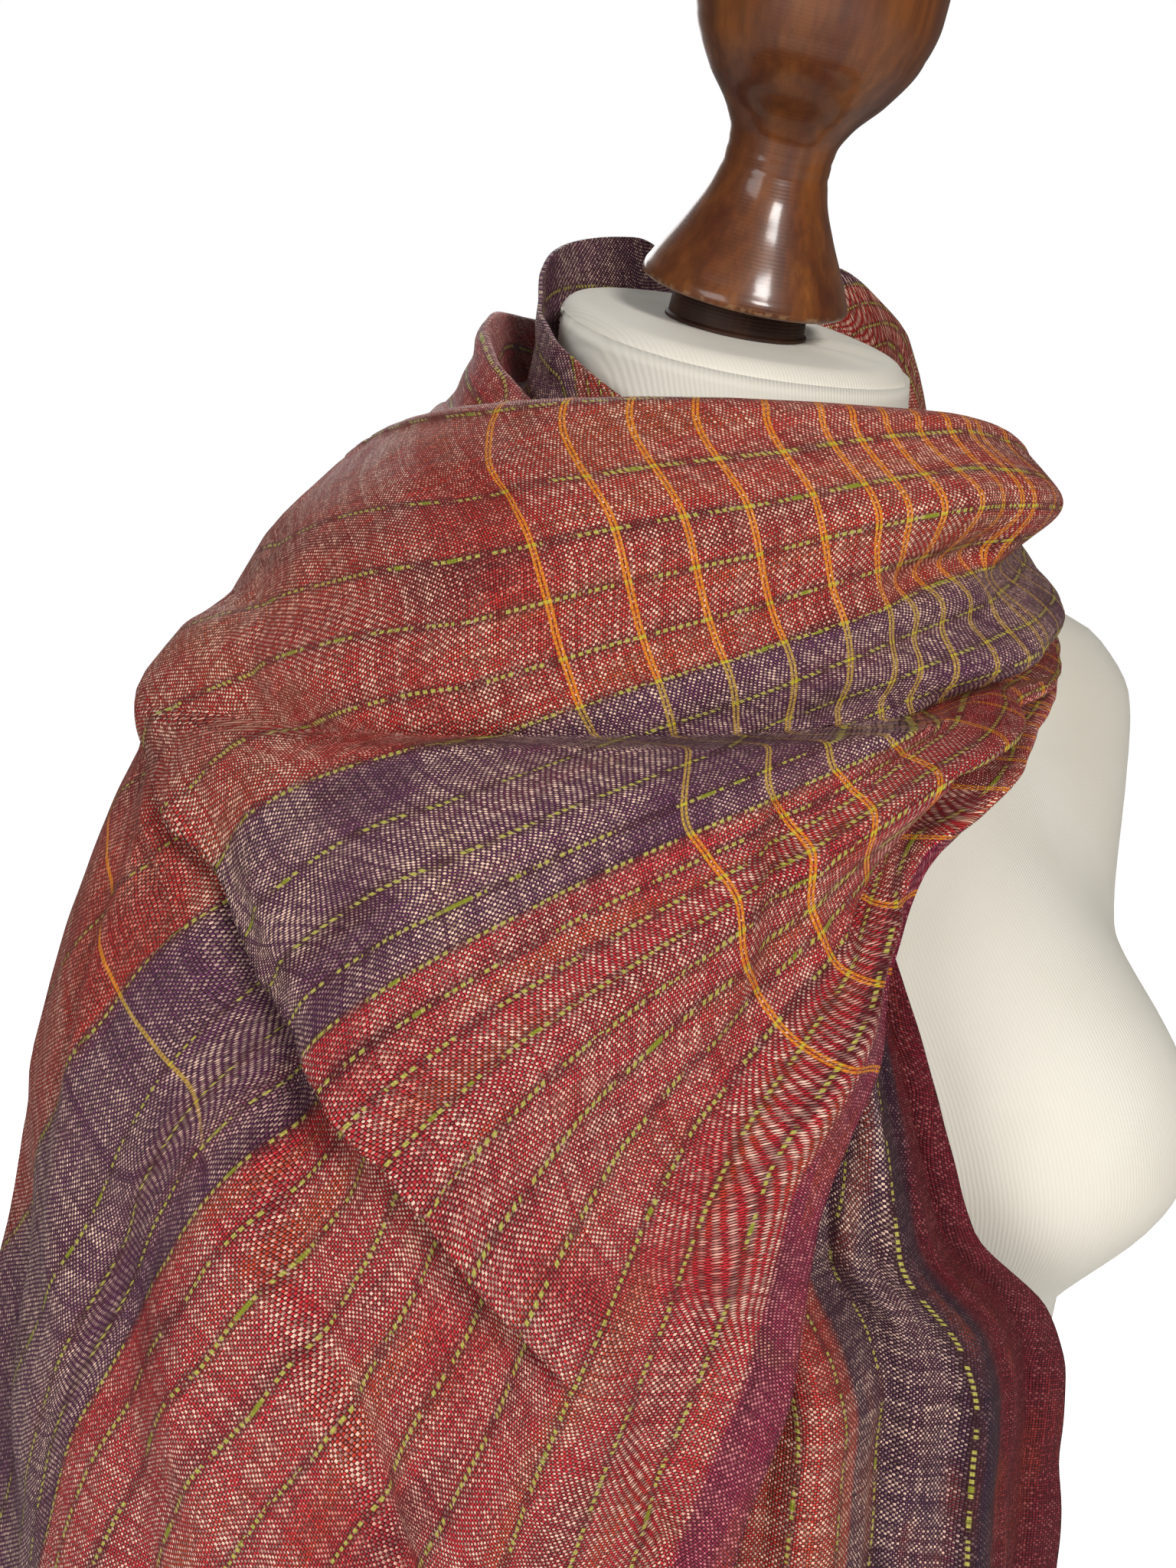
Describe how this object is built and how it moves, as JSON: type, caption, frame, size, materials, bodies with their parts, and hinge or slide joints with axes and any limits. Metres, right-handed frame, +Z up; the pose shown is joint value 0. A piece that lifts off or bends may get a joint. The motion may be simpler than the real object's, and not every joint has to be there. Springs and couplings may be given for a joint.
{
  "type": "silk shawl on a limbless dress form",
  "caption": "Hand-woven striped silk shawl wound round the neck and across the chest of a jersey-covered limbless dress form with a turned wooden finial.",
  "frame": {"origin": "centre of the dress form's flat base", "axes": "+Z up through the form, the form faces -Y, its own left side is +X"},
  "size_m": [0.4287, 0.3084, 0.8338],
  "materials": {
    "silk": "plain-woven silk with a soft sheen, striped red and purple",
    "jersey": "matte fine-rib jersey",
    "dark_wood": "bare stained wood",
    "varnished_wood": "gloss varnish"
  },
  "bodies": {
    "root": {"under_tail": "silk", "neck_loop": "silk", "front_drape": "silk", "back_fall": "silk", "form_torso": "jersey", "neck_block": "dark_wood", "finial": "varnished_wood"}
  },
  "joints": []
}
